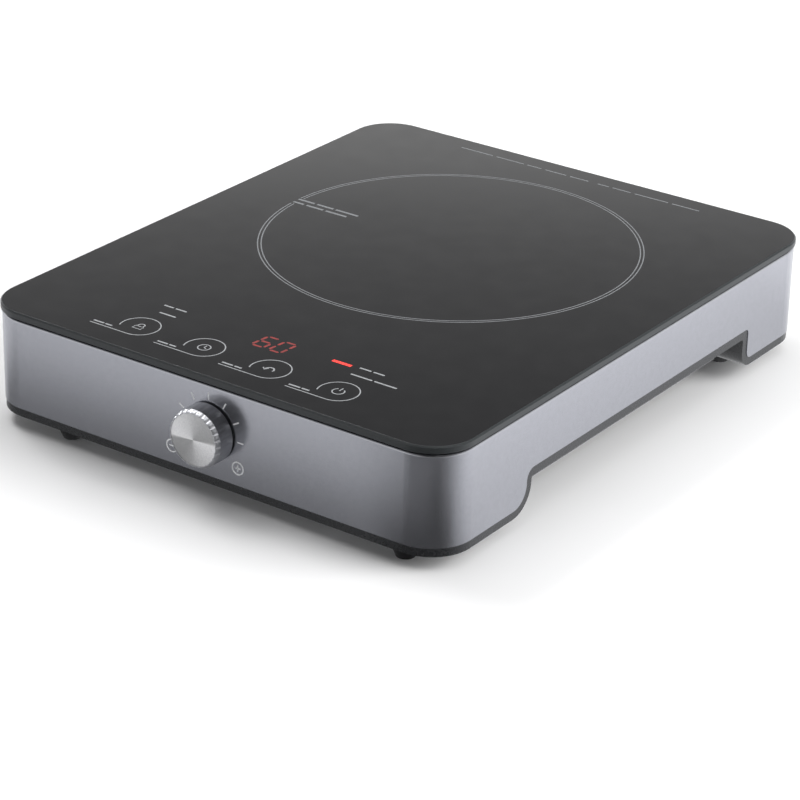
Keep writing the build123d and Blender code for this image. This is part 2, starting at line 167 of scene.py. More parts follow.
def curve(tree, value, stops):
    """Brightness in straight runs between (value, brightness) stops."""
    start, stop = stops[0][0], stops[-1][0]
    share = add(tree, "MapRange", {"Value": value, "From Min": start, "From Max": stop}).outputs[0]
    ramp = add(tree, "ValToRGB", {"Fac": share})
    elements = ramp.color_ramp.elements
    while len(elements) < len(stops):
        elements.new(0.5)
    for element, (at, level) in zip(elements, stops):
        element.position = (at - start) / (stop - start)
        element.color = (level, level, level, 1.0)
    return ramp.outputs[0]


def in_radians(stops):
    """Stops whose values are degrees, with the values in radians."""
    return [(math.radians(degrees), level) for degrees, level in stops]


def mottled(name, dark, light, grain, depth, rough, **sockets):
    """A finish of two close tones in clouds twelve grains wide, with grain in shine and relief."""
    made, tree, shader, place = finish(name, **sockets)
    fine = clouds(tree, place, grain)
    shine = {"Value": fine, **MIDDLE, "To Min": rough[0], "To Max": rough[1]}
    wire(
        tree, shader,
        Base_Color=tinted(tree, clouds(tree, place, 12 * grain), dark, light),
        Roughness=add(tree, "MapRange", shine).outputs[0],
        Normal=add(tree, "Bump", {"Height": fine, "Distance": depth}).outputs[0],
    )
    return made


def polished_glass_ceramic():
    """Rolled glass-ceramic over a dark underprint: a black mirror with a trace of waviness."""
    made, tree, shader, place = finish("polished_glass_ceramic", IOR=1.53)
    wiped = clouds(tree, place, 14 * MM, 4.0)
    wave = clouds(tree, place, 30 * MM)
    shine = {"Value": wiped, **MIDDLE, "To Min": 0.07, "To Max": 0.11}
    wire(
        tree, shader,
        Base_Color=tinted(tree, clouds(tree, place, 90 * MM), "#060607", "#0a0a0b"),
        Roughness=add(tree, "MapRange", shine).outputs[0],
        Normal=add(tree, "Bump", {"Height": wave, "Distance": 0.004 * MM}).outputs[0],
    )
    return made


def ground_glass_edge():
    """Glass-ceramic edge cut by a diamond wheel: frosted grey that catches light on its bevel."""
    made, tree, shader, place = finish("ground_glass_edge", IOR=1.53)
    # grit marks are 0.05 mm, drawn at 0.3 mm so that they show
    grit = clouds(tree, place, 0.3 * MM, 3.0, (1, 1, 3))
    shine = {"Value": grit, **MIDDLE, "To Min": 0.28, "To Max": 0.4}
    wire(
        tree, shader,
        Base_Color=tinted(tree, grit, "#1c2021", "#2c3032"),
        Roughness=add(tree, "MapRange", shine).outputs[0],
        Normal=add(tree, "Bump", {"Height": grit, "Distance": 0.004 * MM}).outputs[0],
    )
    return made


def ceramic_ink(name, dark, light):
    """Fired or baked screen print: matt pigment whose dots follow the screen's threads."""
    made, tree, shader, place = finish(name, Roughness=0.55)
    # screen threads are 0.15 mm apart, drawn at 0.45 mm
    dots = add(tree, "TexVoronoi", {"Vector": place, "Scale": 1 / (0.45 * MM)}).outputs["Distance"]
    wire(
        tree, shader,
        Base_Color=tinted(tree, dots, light, dark),
        Normal=add(tree, "Bump", {"Height": dots, "Distance": 0.004 * MM}).outputs[0],
    )
    return made


def glowing_segment(name, body, glow, strength):
    """Lit acrylic segment moulded under the glass: a deep red with an even glow."""
    made, tree, shader, place = finish(name, Roughness=0.35, Emission_Strength=strength)
    tone = tinted(tree, clouds(tree, place, 1.5 * MM), body, glow)
    wire(tree, shader, Base_Color=tone, Emission_Color=tone)
    return made


def metallic_lacquer():
    """Steel sprayed with grey metallic lacquer: aligned flakes reflect the room softly."""
    made, tree, shader, place = finish(
        "metallic_lacquered_steel", Metallic=0.95, Coat_Weight=0.2, Coat_Roughness=0.1
    )
    # flakes are 0.05 mm, drawn as clouds of flakes 2.5 mm across
    flakes = clouds(tree, place, 2.5 * MM, 1.0)
    # the spray gun's passes, and the sheet's own slight waviness
    shine = {"Value": clouds(tree, place, 60 * MM), **MIDDLE, "To Min": 0.18, "To Max": 0.21}
    wave = clouds(tree, place, 9 * MM)
    wire(
        tree, shader,
        Base_Color=tinted(tree, flakes, "#adaeb4", "#b0b1b7"),
        Roughness=add(tree, "MapRange", shine).outputs[0],
        Normal=add(tree, "Bump", {"Height": wave, "Distance": 0.002 * MM}).outputs[0],
    )
    return made


def turned_chrome():
    """Brass turned on a lathe and chrome plated: fine rings draw its glints out lengthwise."""
    made = mottled(
        "satin_chrome_plate", "#c6c7cb", "#cecfd3", 6 * MM, 0.002 * MM, (0.3, 0.34),
        Metallic=1.0, Anisotropic=0.9,
    )
    tree = made.node_tree
    lay = add(tree, "Tangent", direction_type="RADIAL", axis="Y")
    wire(tree, tree.nodes["Principled BSDF"], Tangent=lay.outputs[0])
    return made


def spun_aluminium_painted_sheen():
    """Aluminium turned on a lathe and anodised: ring marks that fan the light, with light and dark
    sectors painted into its tone as a painted reflection.
    """
    made, tree, shader, place = finish(
        "spun_aluminium_painted_sheen", Metallic=0.55, Roughness=0.32, Anisotropic=0.95
    )
    centred = add(tree, "Mapping", {"Vector": place, "Location": (-KNOB_X, 0, -KNOB_Z)})
    flat = add(tree, "VectorMath", {0: centred.outputs[0], 1: (1, 0, 1)}, operation="MULTIPLY")
    span = add(tree, "VectorMath", {0: flat.outputs[0]}, operation="LENGTH").outputs["Value"]
    # tool marks are 0.1 mm apart, drawn at 0.35 mm, with a little chatter from the tool
    rings = add(tree, "Math", {0: span, 1: 2 * math.pi / (0.35 * MM)}, operation="MULTIPLY")
    wave = add(tree, "Math", {0: rings.outputs[0]}, operation="SINE").outputs[0]
    chatter = {0: wave, 1: 0.25, 2: clouds(tree, place, 0.8 * MM)}
    marks = add(tree, "Math", chatter, operation="MULTIPLY_ADD").outputs[0]
    # painted reflection: the light and dark sectors of such a face are painted into its tone, so
    # they turn with it:
    # each half turn runs from a painted dull sheen to a painted bright one
    parts = add(tree, "SeparateXYZ", {0: flat.outputs[0]}).outputs
    angle = add(tree, "Math", {0: parts["Z"], 1: parts["X"]}, operation="ARCTAN2").outputs[0]
    half = add(tree, "Math", {0: angle, 1: math.radians(6)}, operation="SUBTRACT").outputs[0]
    half = add(tree, "Math", {0: half, 1: math.pi, 2: 0.0}, operation="WRAP").outputs[0]
    painted_sheen_sectors = curve(tree, half, [
        (0, 0.6), (0.06, 0.42), (0.8, 0.46), (1.35, 0.58), (1.8, 0.8), (2.5, 0.93), (3.06, 1.0),
        (math.pi, 0.6),
    ])
    # painted sheen: the sectors darken the turned tone round the disc
    tones = {0: 1.0, 6: painted_sheen_sectors, 7: tinted(tree, marks, "#e6e6e8", "#ffffff")}
    tone = add(tree, "Mix", tones, data_type="RGBA", blend_type="MULTIPLY")
    wire(
        tree, shader,
        Base_Color=tone.outputs[2],
        Normal=add(tree, "Bump", {"Height": marks, "Distance": 0.0015 * MM}).outputs[0],
        Tangent=add(tree, "Tangent", direction_type="RADIAL", axis="Y").outputs[0],
    )
    return made


# ---- shapes, all as grids of points whose second direction closes on itself ----
def placed(grid, origin, directions):
    """Turns (right, up, out) points into the hob's frame and moves them to an origin."""
    return np.asarray(origin) + np.asarray(grid) @ np.array(directions, float)


def soften(points, reach, steps=5):
    """Rounds a run of points: each corner becomes a parabola that starts and ends a reach away."""
    run = np.asarray(points, float)
    corner = run[1:-1]
    back = run[:-2] - corner
    ahead = run[2:] - corner
    reach = np.broadcast_to(reach, len(corner))[:, None]
    start = corner + back / np.linalg.norm(back, axis=1, keepdims=True) * reach
    stop = corner + ahead / np.linalg.norm(ahead, axis=1, keepdims=True) * reach
    t = np.linspace(0, 1, steps)[None, :, None]
    bent = (1 - t) ** 2 * start[:, None] + t ** 2 * stop[:, None]
    bent = bent + 2 * t * (1 - t) * corner[:, None]
    return np.vstack([run[:1], bent.reshape(-1, run.shape[1]), run[-1:]])


def turned(profile, count, depth=0.0, notch=None):
    """A profile of (radius, height) turned about the height axis: radius less depth times notch."""
    angle = np.linspace(0, 2 * math.pi, count, endpoint=False)
    radius = profile[:, :1] - np.reshape(depth, (-1, 1)) * (0 if notch is None else notch(angle))
    height = np.broadcast_to(profile[:, 1:], (len(profile), count))
    radius = np.broadcast_to(radius, height.shape)
    return np.stack([radius * np.cos(angle), radius * np.sin(angle), height], -1)


def slab(half_x, half_y, radius, profile, steps=24):
    """A profile of (inset, height) carried round a rectangle with round corners.

    Point = corner centre + (radius - inset) * outward direction; both ends close at the middle.
    """
    angle = np.radians(np.arange(4)[:, None] * 90 + np.linspace(0, 90, steps)).ravel()
    outward = np.stack([np.cos(angle), np.sin(angle)], -1)
    signs = np.repeat([[1, 1], [-1, 1], [-1, -1], [1, -1]], steps, 0)
    centre = signs * [half_x - radius, half_y - radius]
    flat = centre + (radius - profile[:, 0])[:, None, None] * outward
    flat = np.concatenate([flat[:1] * 0, flat, flat[:1] * 0])
    height = np.concatenate([profile[:1, 1], profile[:, 1], profile[-1:, 1]])
    height = np.broadcast_to(height[:, None, None], (*flat.shape[:2], 1))
    return np.concatenate([flat, height], -1)


def strip(path, width, low, high, closed=False):
    """A flat rectangle carried along a path in a plane, square to it at each point.

    Left and right edges are the path plus and minus half the width times its normal.
    """
    path = np.asarray(path, float)
    if closed:
        along = np.roll(path, -1, 0) - np.roll(path, 1, 0)
    else:
        along = np.gradient(path, axis=0)
    along /= np.linalg.norm(along, axis=1, keepdims=True)
    side = along[:, ::-1] * [-0.5, 0.5] * np.reshape(width, (-1, 1))
    flat = np.stack([path + side, path - side, path - side, path + side], 1)
    height = np.broadcast_to(np.array([low, low, high, high])[None, :, None], (*flat.shape[:2], 1))
    grid = np.concatenate([flat, height], -1)
    if closed:
        return np.concatenate([grid, grid[:1]])
    ends = grid.mean(1, keepdims=True) + 0 * grid
    return np.concatenate([ends[:1], grid, ends[-1:]])


def arc(centre, radius, start, stop, count=48):
    """Points round a centre from one angle to another, in degrees."""
    angle = np.radians(np.linspace(start, stop, count))
    return np.asarray(centre) + radius * np.stack([np.cos(angle), np.sin(angle)], -1)


def ring(centre, radius, count=72):
    """Points of a whole circle."""
    return arc(centre, radius, 0, 360 - 360 / count, count)


def bars(lines, height, low, high):
    """Plain bars in place of words: each line is (left, right, level) or more, in millimetres."""
    grids = []
    for left, right, level in lines:
        path = np.linspace((left, level), (right, level), 3) * MM
        grids.append(strip(path, height, low, high))
    return grids


def piece(name, grids, finishes, body="root", picks=None, sharp=35):
    """Makes grids of points into one closed mesh, shades it and fixes it to a body.

    Each cell of a grid is a face; equal points are merged and faces turned outwards.
    """
    corners, cells, first = [], [], 0
    for grid in grids:
        rows, columns = grid.shape[:2]
        i = np.arange(rows - 1)[:, None] * columns
        j = np.arange(columns)[None, :]
        k = (j + 1) % columns
        cell = np.stack([i + j, i + k, i + columns + k, i + columns + j], -1)
        cells.append(cell.reshape(-1, 4) + first)
        corners.append(grid.reshape(-1, 3))
        first += rows * columns
    mesh = bpy.data.meshes.new(name)
    mesh.from_pydata(np.concatenate(corners).tolist(), [], np.concatenate(cells).tolist())
    for made in finishes:
        mesh.materials.append(made)
    if picks is not None:
        mesh.polygons.foreach_set("material_index", np.asarray(picks, np.int32))
    whole = bmesh.new()
    whole.from_mesh(mesh)
    bmesh.ops.remove_doubles(whole, verts=whole.verts, dist=1e-7)
    bmesh.ops.recalc_face_normals(whole, faces=whole.faces)
    whole.to_mesh(mesh)
    whole.free()
    mesh.polygons.foreach_set("use_smooth", np.ones(len(mesh.polygons), bool))
    mesh.set_sharp_from_angle(angle=math.radians(sharp))
    made = bpy.data.objects.new(name, mesh)
    bpy.context.scene.collection.objects.link(made)
    weighted = made.modifiers.new("Flat faces stay flat", "WEIGHTED_NORMAL")
    weighted.keep_sharp = True
    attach(made, body)
    return made


def coat(node, made):
    """Gives a node of the frame a finish."""
    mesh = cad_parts[node].data
    mesh.materials.clear()
    mesh.materials.append(made)


# ---- sizes and colours that a user would change ----
def length(name, description, default):
    """A length that is given in millimetres."""
    return bpy.props.FloatProperty(
        name=name, description=description, default=default * MM, unit="LENGTH", precision=5
    )


def colour(name, description, code):
    """A colour that is given as sRGB hex."""
    return bpy.props.FloatVectorProperty(
        name=name, description=description, default=linear(code)[:3], subtype="COLOR",
        size=3, min=0, max=1,
    )


class HobPrintSizes(bpy.types.PropertyGroup):
    line: length("Line", "Width of a printed line on the glass", 0.62)
    ink: length("Ink", "How far the ink stands on the glass", 0.03)
    zone_radius: length("Zone Radius", "Radius of the outer zone circle", 103.8)
    zone_gap: length("Zone Gap", "Distance between the two zone circles", 1.9)
    key_radius: length("Key Radius", "Radius of the circle round a touch key", 10.6)
    key_pitch: length("Key Pitch", "Distance between two touch keys", 41.5)
    digit_height: length("Digit Height", "Height of a digit on the display", 12.4)
    tick_radius: length("Tick Radius", "Radius of the circle of dial ticks", 19.7)
    tick_length: length("Tick Length", "Length of one dial tick", 3.9)


class HobShapeSizes(bpy.types.PropertyGroup):
    glass_corner: length("Glass Corner", "Radius of the glass plate's corners", CORNER / MM)
    glass_bevel: length("Glass Bevel", "Width of the ground bevel on the glass", 0.85)
    knob_notches: bpy.props.IntProperty(
        name="Knob Notches", description="Notches round the knob's front edge", default=26,
        min=8, max=90,
    )
    notch_depth: length("Notch Depth", "Depth of a notch in the knob's edge", 0.55)
    foot_round: length("Foot Rounding", "Rounding of a foot's lower edge", 0.8)


class HobColours(bpy.types.PropertyGroup):
    floor: colour("Floor", "Tone of the floor", "#f2f2f2")
    room: colour("Room", "Tone of the upper room", "#89898b")
    wall: colour("Wall", "Tone of the room at floor level", "#ffffff")


class HobStage(bpy.types.PropertyGroup):
    aim: bpy.props.FloatVectorProperty(
        name="Aim", description="Point that the camera looks at",
        default=(0.075365, -0.113729, 0.0523), subtype="XYZ", unit="LENGTH", precision=5,
    )
    azimuth: bpy.props.FloatProperty(
        name="Azimuth", description="Camera's turn to the right of the hob's front",
        default=math.radians(35.142), subtype="ANGLE",
    )
    elevation: bpy.props.FloatProperty(
        name="Elevation", description="Camera's height above the floor, as an angle",
        default=math.radians(25.356), subtype="ANGLE",
    )
    roll: bpy.props.FloatProperty(
        name="Roll", description="Camera's turn about its own line of sight",
        default=math.radians(1.253), subtype="ANGLE",
    )
    distance: length("Distance", "From the camera to its aim", 1489.99)
    lens: bpy.props.FloatProperty(
        name="Lens", description="Focal length on a 36 mm sensor", default=136.725, unit="CAMERA"
    )
    floor_radius: length("Floor Radius", "Radius of the round floor", 4000)
    top_power: bpy.props.FloatProperty(
        name="Top Light", description="Power of the soft light overhead", default=104, unit="POWER"
    )
    left_power: bpy.props.FloatProperty(
        name="Left Light", description="Power of the small light that glints on the knob",
        default=7, unit="POWER",
    )
    side_power: bpy.props.FloatProperty(
        name="Side Light", description="Power of the soft light at the back right",
        default=200, unit="POWER",
    )


# ---- pieces ----
class HOB_OT_stage(bpy.types.Operator):
    """Pale floor, soft lights and the camera"""

    bl_idname = "hob.stage"
    bl_label = "Stage"

    def execute(self, context):
        scene = context.scene
        stage = scene.hob_stage
        self.floor(stage, scene.hob_colours)
        self.light(*TOP_LIGHT, stage.top_power)
        self.light(*LEFT_LIGHT, stage.left_power)
        # the glass would mirror this one as a white sheet from the left
        self.light(*SIDE_LIGHT, stage.side_power).visible_glossy = False
        self.room(scene)
        # the card paints reflected shade and light onto the sleeve and knob
        self.card()
        scene.view_settings.view_transform = "Standard"
        scene.view_settings.look = "None"
        self.camera(stage, scene)
        return {"FINISHED"}

    def flat(self, name, corners, height, made):
        """One flat face through its corners."""
        corners = np.concatenate([corners, np.full((len(corners), 1), height)], 1)
        mesh = bpy.data.meshes.new(name)
        mesh.from_pydata(corners.tolist(), [], [tuple(range(len(corners)))])
        mesh.materials.append(made)
        sheet = bpy.data.objects.new(name, mesh)
        bpy.context.scene.collection.objects.link(sheet)
        return sheet

    def floor(self, stage, colours):
        """Matt paper, just under the feet: a faint cloudiness and no shine."""
        made, tree, shader, place = finish("matt_paper_floor", Roughness=0.9)
        share = {"Value": clouds(tree, place, 0.4), **MIDDLE}
        tones = {
            0: add(tree, "MapRange", share).outputs[0],
            6: (*colours.floor, 1.0),
            7: (*(0.985 * value for value in colours.floor), 1.0),
        }
        pale = add(tree, "Mix", tones, data_type="RGBA").outputs[2]
        wire(tree, shader, Base_Color=pale)
        self.flat("floor", ring((0, 0), stage.floor_radius, 96), -CLEAR, made)

    def room(self, scene):
        """A room with walls white at floor level, grey higher up and dark at one end."""
        world = bpy.data.worlds.new("plain_room")
        world.use_nodes = True
        tree = world.node_tree
        way = add(tree, "TexCoord").outputs["Generated"]
        parts = add(tree, "SeparateXYZ", {0: way}).outputs
        level = add(tree, "Math", {0: parts["Z"]}, operation="ARCSINE").outputs[0]
        ahead = add(tree, "Math", {0: parts["Y"], 1: -1.0}, operation="MULTIPLY").outputs[0]
        turn = add(tree, "Math", {0: parts["X"], 1: ahead}, operation="ARCTAN2").outputs[0]
        lit = curve(tree, turn, in_radians(ROOM_END))
        share = curve(tree, level, in_radians(ROOM_CURVE))
        tone = add(tree, "Mix", {
            0: share, 6: (*scene.hob_colours.room, 1.0), 7: (*scene.hob_colours.wall, 1.0),
        }, data_type="RGBA").outputs[2]
        shaded = add(
            tree, "Mix", {0: 1.0, 6: tone, 7: lit}, data_type="RGBA", blend_type="MULTIPLY"
        ).outputs[2]
        tree.links.new(shaded, tree.nodes["Background"].inputs["Color"])
        scene.world = world

    def card(self):
        """A glowing card on the floor that only reflections see, with painted shade: dark before
        the front corner.

        Its painted brightness grows with the distance from the hob, times a curve of the angle
        round
        the front right corner: a painted reflection of shade and light on the sleeve and knob.
        """
        made = bpy.data.materials.new("painted_reflection_card")
        made.use_nodes = True
        tree = made.node_tree
        tree.nodes.clear()
        place = add(tree, "TexCoord").outputs["Object"]
        spot = add(tree, "SeparateXYZ", {0: place}).outputs
        side = add(tree, "Math", {0: spot["X"]}, operation="ABSOLUTE").outputs[0]
        deep = add(tree, "Math", {0: spot["Y"]}, operation="ABSOLUTE").outputs[0]
        side = add(tree, "Math", {0: side, 1: SLEEVE_HIGH.x}, operation="SUBTRACT").outputs[0]
        deep = add(tree, "Math", {0: deep, 1: SLEEVE_HIGH.y}, operation="SUBTRACT").outputs[0]
        away = add(tree, "Math", {0: side, 1: deep}, operation="MAXIMUM").outputs[0]
        near, far = PAINTED_SHADE_FADE
        # painted shade: the card is darkest right before the front wall
        front = add(tree, "MapRange", {
            "Value": spot["Y"], "From Min": FRONT, "From Max": FRONT + 20 * MM,
            "To Min": PAINTED_SHADE_NEAR_FRONT, "To Max": PAINTED_SHADE_NEAR_SIDES,
        }).outputs[0]
        painted_shade_fade = add(tree, "MapRange", {
            "Value": away, "From Min": near, "From Max": far, "To Min": front, "To Max": 1.0,
        }, interpolation_type="SMOOTHSTEP").outputs[0]
        middle = (GLASS_HIGH.x - CORNER, GLASS_LOW.y + CORNER)
        x = add(tree, "Math", {0: spot["X"], 1: middle[0]}, operation="SUBTRACT").outputs[0]
        y = add(tree, "Math", {0: middle[1], 1: spot["Y"]}, operation="SUBTRACT").outputs[0]
        angle = add(tree, "Math", {0: x, 1: y}, operation="ARCTAN2").outputs[0]
        # painted reflection: the angle curve darkens the card before the front right corner, a
        # painted dark band
        painted_corner_shade = curve(tree, angle, in_radians(PAINTED_REFLECTION_CURVE))
        glow = add(tree, "Math", {0: painted_corner_shade, 1: painted_shade_fade}, operation="MULTIPLY").outputs[0]
        # the card glows though it is no lamp: its glow is painted reflection
        light = add(tree, "Emission", {"Strength": glow, "Color": linear("#f4f5f8")})
        add(tree, "OutputMaterial", {"Surface": light.outputs[0]})
        square = np.array([(-1, -1), (1, -1), (1, 1), (-1, 1)])
        card = self.flat("painted_reflection_sheet", CARD_REACH * square, CLEAR, made)
        card.visible_camera = False
        card.visible_diffuse = False
        card.visible_shadow = False
        card.visible_transmission = False

    def light(self, name, place, size, power):
        """A square soft light aimed at the hob."""
        data = bpy.data.lights.new(name, "AREA")
        data.shape = "SQUARE"
        data.size = size
        data.energy = power
        made = bpy.data.objects.new(name, data)
        made.location = place
        made.rotation_euler = (-Vector(place)).to_track_quat("-Z", "Y").to_euler()
        bpy.context.scene.collection.objects.link(made)
        return made

    def camera(self, stage, scene):
        """Looks from azimuth and elevation at the aim, then rolls about the line of sight."""
        az, el, roll = stage.azimuth, stage.elevation, stage.roll
        back = Vector((
            math.sin(az) * math.cos(el), -math.cos(az) * math.cos(el), math.sin(el)
        ))
        level = Vector((math.cos(az), math.sin(az), 0))
        up = back.cross(level)
        right = math.cos(roll) * level + math.sin(roll) * up
        up = -math.sin(roll) * level + math.cos(roll) * up
        data = bpy.data.cameras.new("camera")
        data.sensor_width = 36
        data.lens = stage.lens
        data.clip_start = 0.05
        data.clip_end = 50
        made = bpy.data.objects.new("camera", data)
        turn = Matrix((right, up, back)).transposed()
        place = Vector(stage.aim) + back * stage.distance
        made.matrix_world = Matrix.LocRotScale(place, turn, None)
        scene.collection.objects.link(made)
        scene.camera = made


class HOB_OT_glass(bpy.types.Operator):
    """Glass-ceramic plate with a ground bevel and edge"""

    bl_idname = "hob.glass"
    bl_label = "Glass Plate"

    def execute(self, context):
        sizes = context.scene.hob_shapes
        low, high = GLASS_LOW.z, GLASS_HIGH.z
        bevel = sizes.glass_bevel
        edge = soften([
            (sizes.glass_corner, low), (0.5 * MM, low), (0, low + 0.5 * MM),
            (0, high - bevel), (bevel, high), (sizes.glass_corner, high),
        ], [0.12 * MM, 0.12 * MM, 0.15 * MM, 0.1 * MM])
        grid = slab(GLASS_HIGH.x, GLASS_HIGH.y, sizes.glass_corner, edge)
        rows = np.arange(len(grid) - 1)
        ground = (rows > 0) & (rows < len(grid) - 3)
        picks = np.repeat(ground, grid.shape[1])
        plate = piece(
            "glass_top", [grid], [polished_glass_ceramic(), ground_glass_edge()],
            picks=picks, sharp=60,
        )
        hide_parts("glass_plate")
        return {"FINISHED"}


class HOB_OT_zone(bpy.types.Operator):
    """Two fine circles round the cooking zone, with plain bars in their gap"""

    bl_idname = "hob.zone"
    bl_label = "Zone Print"

    def execute(self, context):
        sizes = context.scene.hob_prints
        low, high = -0.01 * MM, sizes.ink
        centre = (0.35 * MM, 37.04 * MM)
        grids = [
            strip(arc(centre, sizes.zone_radius, -176.8, 178.2, 240), sizes.line, low, high),
            strip(
                arc(centre, sizes.zone_radius - sizes.zone_gap, -176.8, 178.2, 240),
                sizes.line, low, high,
            ),
        ]
        # two lines of bars in the circles' gap
        grids += bars([
            (-103.5, -92.4, 38.3), (-90.6, -79.4, 38.3), (-77.8, -62.5, 38.3),
            (-103.5, -96.2, 33.6), (-94.4, -83.0, 33.6), (-81.2, -67.0, 33.6),
        ], 1.7 * MM, low, high)
        # one fine line of bars along the back edge
        back = [(-79, -57), (-54.4, -35.6), (-33, -23.4), (-20.8, -6.6), (-4, 8.4),
                (14.6, 22), (24.6, 36.6), (39.2, 61), (63.6, 81)]
        grids += bars([(left, right, 162.2) for left, right in back], 1.0 * MM, low, high)
        grids = [placed(grid, (0, 0, GLASS_TOP), ON_TOP) for grid in grids]
        piece("zone_print", grids, [ceramic_ink("fired_grey_ink", "#6e7073", "#86888b")])
        return {"FINISHED"}


class HOB_OT_keys(bpy.types.Operator):
    """Four touch key circles with a tail, their symbols and plain bars"""

    bl_idname = "hob.keys"
    bl_label = "Key Prints"

    def execute(self, context):
        sizes = context.scene.hob_prints
        low, high = -0.01 * MM, sizes.ink
        radius = sizes.key_radius
        symbols = (self.lock(), self.clock(), self.arrow(), self.power())
        tails = (-24.0, -23.8, -24.2, -24.4)
        grids = []
        for count, (symbol, tail) in enumerate(zip(symbols, tails)):
            x = 1.7 * MM + (count - 1.5) * sizes.key_pitch
            y = -149.2 * MM
            round_part = arc((x, y), radius, 205, -90, 72)
            straight = np.linspace((x - 1 * MM, y - radius), (x + tail * MM, y - radius), 5)
            path = np.vstack([round_part, straight])
            grids.append(strip(path, sizes.line, low, high))
            for mark, width in symbol:
                closed = np.allclose(mark[0], mark[-1])
                shape = (mark[:-1] if closed else mark) * MM + (x, y)
                grids.append(strip(shape, width * MM, low, high, closed))
            label = (x / MM + tail + 0.4, x / MM - 11.6, -157.2)
            middle = (label[0] + label[1]) / 2 + 1.2
            grids += bars([(label[0], middle - 0.5, label[2]), (middle + 0.5, label[1], label[2])],
                          1.1 * MM, low, high)
        # bars beside the lamps
        legends = [(-68, -61.8, -121), (-60.4, -53.5, -121), (-64, -53.5, -129.6),
                   (56, 63, -121), (64.4, 71, -121), (56.7, 69.6, -129.4), (71, 84.3, -129.4)]
        grids += bars(legends, 1.1 * MM, low, high)
        grids = [placed(grid, (0, 0, GLASS_TOP), ON_TOP) for grid in grids]
        piece("key_print", grids, [ceramic_ink("fired_white_ink", "#8d8f92", "#a9abad")])
        return {"FINISHED"}

    # each symbol is a list of (path, line width), in millimetres about its key
    def lock(self):
        case = [(-2.6, -0.2), (-2.6, -3.0), (2.6, -3.0), (2.6, -0.2), (0, -0.2), (-2.6, -0.2)]
        shackle = np.vstack([[(-1.7, -0.2)], arc((0, 1.3), 1.7, 180, 0, 18), [(1.7, -0.2)]])
        return [(np.array(case, float), 0.6), (shackle, 0.6)]

    def clock(self):
        hands = np.array([(0.0, 2.2), (0.0, 0.0), (1.6, -0.8)])
        return [(arc((0, 0), 3.3, 0, 360), 0.6), (hands, 0.6)]

    def arrow(self):
        hook = np.vstack([arc((0, -0.8), 2.4, -20, 160, 24), [(-2.6, -1.4)]])
        head = np.array([(-4.2, -0.2), (-2.4, -1.8), (-1.0, 0.2)])
        return [(hook, 0.8), (head, 0.7)]

    def power(self):
        stroke = np.array([(0, 4.0), (0, 2.4), (0, 0.8)])
        return [(arc((0, 0), 3.1, 125, 415), 0.65), (stroke, 0.65)]


class HOB_OT_display(bpy.types.Operator):
    """Two seven-segment digits and a lamp, lit under the glass"""

    bl_idname = "hob.display"
    bl_label = "Display"

    def execute(self, context):
        sizes = context.scene.hob_prints
        low, high = -0.01 * MM, 0.5 * sizes.ink
        half_y = sizes.digit_height / 2
        half_x = 0.29 * sizes.digit_height
        lean = 0.1
        ends = {
            "a": ((-1, 1), (1, 1)), "b": ((1, 1), (1, 0)), "c": ((1, 0), (1, -1)),
            "d": ((-1, -1), (1, -1)), "e": ((-1, 0), (-1, -1)), "f": ((-1, 1), (-1, 0)),
            "g": ((-1, 0), (1, 0)),
        }
        digits = (("acdefg", 0.9), ("abcdef", 11.5))
        grids = []
        for lit, x in digits:
            for key in lit:
                start, stop = (np.array(end, float) for end in ends[key])
                t = np.array([0.1, 0.2, 0.8, 0.9])[:, None]
                path = (start + t * (stop - start)) * (half_x, half_y)
                path[:, 0] += lean * path[:, 1]
                path += (x * MM, -125.2 * MM)
                width = np.array([0.05, 1, 1, 0.05]) * 1.5 * MM
                grids.append(strip(path, width, low, high))
        grids = [placed(grid, (0, 0, GLASS_TOP), ON_TOP) for grid in grids]
        digits = piece("display_digits", grids,
                       [glowing_segment("lit_red_segment", "#6a1816", "#8c1d19", 0.28)])
        lamp = strip(np.linspace((40.2, -122), (51.6, -122), 4) * MM, 2.2 * MM, low, high)
        lamp = placed(lamp, (0, 0, GLASS_TOP), ON_TOP)
        piece("lamp_bar", [lamp], [glowing_segment("lit_red_lamp", "#d8221c", "#f03a30", 0.9)])
        return {"FINISHED"}


class HOB_OT_front(bpy.types.Operator):
    """Dial ticks and the circled minus and plus on the front"""

    bl_idname = "hob.front"
    bl_label = "Dial Print"

    def execute(self, context):
        sizes = context.scene.hob_prints
        low, high = -0.01 * MM, 0.04 * MM
        middle = np.array((KNOB_X - 0.4 * MM, KNOB_Z - 0.9 * MM))
        grids = []
        for degrees in range(0, 151, 30):
            way = np.array((math.cos(math.radians(degrees)), math.sin(math.radians(degrees))))
            span = np.linspace(-0.5, 0.5, 3)[:, None] * sizes.tick_length + sizes.tick_radius
            grids.append(strip(middle + span * way, 0.75 * MM, low, high))
        for across, upright in ((-23.6, False), (18.0, True)):
            spot = middle + np.array((across, -14.2)) * MM
            grids.append(strip(ring(spot, 3.3 * MM), 0.65 * MM, low, high, closed=True))
            reach = np.linspace(-1.7, 1.7, 3)[:, None] * MM
            grids.append(strip(spot + reach * (1, 0), 0.65 * MM, low, high))
            if upright:
                grids.append(strip(spot + reach * (0, 1), 0.65 * MM, low, high))
        grids = [placed(grid, (0, FRONT, 0), ON_FRONT) for grid in grids]
        piece("dial_print", grids, [ceramic_ink("baked_white_ink", "#dddfe2", "#eff0f1")])
        return {"FINISHED"}


